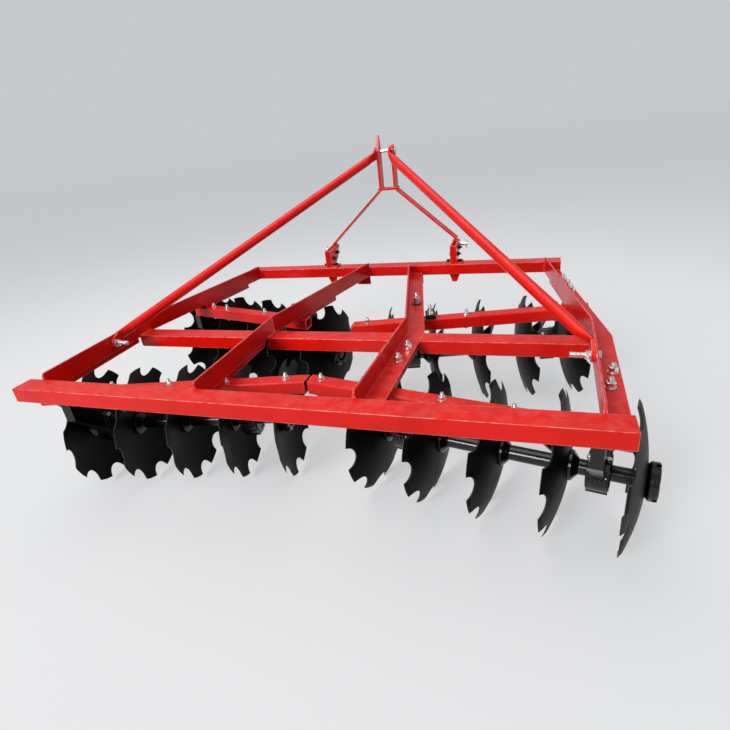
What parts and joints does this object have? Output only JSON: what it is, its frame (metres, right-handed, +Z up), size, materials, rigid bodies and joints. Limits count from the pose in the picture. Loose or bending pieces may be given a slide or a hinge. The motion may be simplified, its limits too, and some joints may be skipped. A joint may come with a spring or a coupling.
{
  "type": "disc harrow",
  "caption": "Tandem disc harrow for a three-point hitch: angle-iron frame, mast with two braces, and notched discs on four turning gangs.",
  "frame": {"origin": "on the ground, under the middle of the harrow's bounding box", "axes": "+Z up; +Y forward, to the tractor; +X to the harrow's right seen from behind"},
  "size_m": [2.1911, 1.6109, 1.188],
  "materials": {
    "frame_paint": "gloss enamel",
    "black_paint": "gloss enamel",
    "plated_steel": "zinc plated"
  },
  "bodies": {
    "frame": {"front_bar": "frame_paint", "rear_bar": "frame_paint", "middle_crossbar": "frame_paint", "left_side_rail": "frame_paint", "right_side_rail": "frame_paint", "left_inner_rail": "frame_paint", "right_inner_rail": "frame_paint", "rail_cleats": "frame_paint", "rear_rail_pads": "frame_paint", "front_rail_pads": "frame_paint", "mast_legs": "frame_paint", "mast_spreader": "frame_paint", "mast_uprights": "frame_paint", "top_link_pin": "plated_steel", "lower_link_pins": "plated_steel", "lower_hitch_brackets": "frame_paint", "mast_braces": "frame_paint", "rear_left_gang_beam": "frame_paint", "rear_left_bearing_hangers": "black_paint", "rear_left_scrapers": "black_paint", "rear_right_gang_beam": "frame_paint", "rear_right_bearing_hangers": "black_paint", "rear_right_scrapers": "black_paint", "front_left_gang_beam": "frame_paint", "front_left_bearing_hangers": "black_paint", "front_left_scrapers": "black_paint", "front_right_gang_beam": "frame_paint", "front_right_bearing_hangers": "black_paint", "front_right_scrapers": "black_paint"},
    "rear_left_gang": {"rear_left_discs": "black_paint", "rear_left_spools": "black_paint", "rear_left_end_caps": "black_paint", "rear_left_gang_bolt": "black_paint"},
    "rear_right_gang": {"rear_right_discs": "black_paint", "rear_right_spools": "black_paint", "rear_right_end_caps": "black_paint", "rear_right_gang_bolt": "black_paint"},
    "front_left_gang": {"front_left_discs": "black_paint", "front_left_spools": "black_paint", "front_left_end_caps": "black_paint", "front_left_gang_bolt": "black_paint"},
    "front_right_gang": {"front_right_discs": "black_paint", "front_right_spools": "black_paint", "front_right_end_caps": "black_paint", "front_right_gang_bolt": "black_paint"}
  },
  "joints": [
    {"name": "rear_left_gang_turns", "type": "hinge", "parent": "frame", "child": "rear_left_gang", "pos_m": [-0.01679, -0.3345, 0.232], "axis": [-0.9802, -0.1982, 0], "continuous": true},
    {"name": "rear_right_gang_turns", "type": "hinge", "parent": "frame", "child": "rear_right_gang", "pos_m": [-0.01679, -0.3345, 0.232], "axis": [0.9802, -0.1982, 0], "continuous": true},
    {"name": "front_left_gang_turns", "type": "hinge", "parent": "frame", "child": "front_left_gang", "pos_m": [-0.01679, 0.1945, 0.232], "axis": [-0.9708, 0.2399, 0], "continuous": true},
    {"name": "front_right_gang_turns", "type": "hinge", "parent": "frame", "child": "front_right_gang", "pos_m": [-0.01679, 0.1945, 0.232], "axis": [0.9708, 0.2399, 0], "continuous": true}
  ]
}
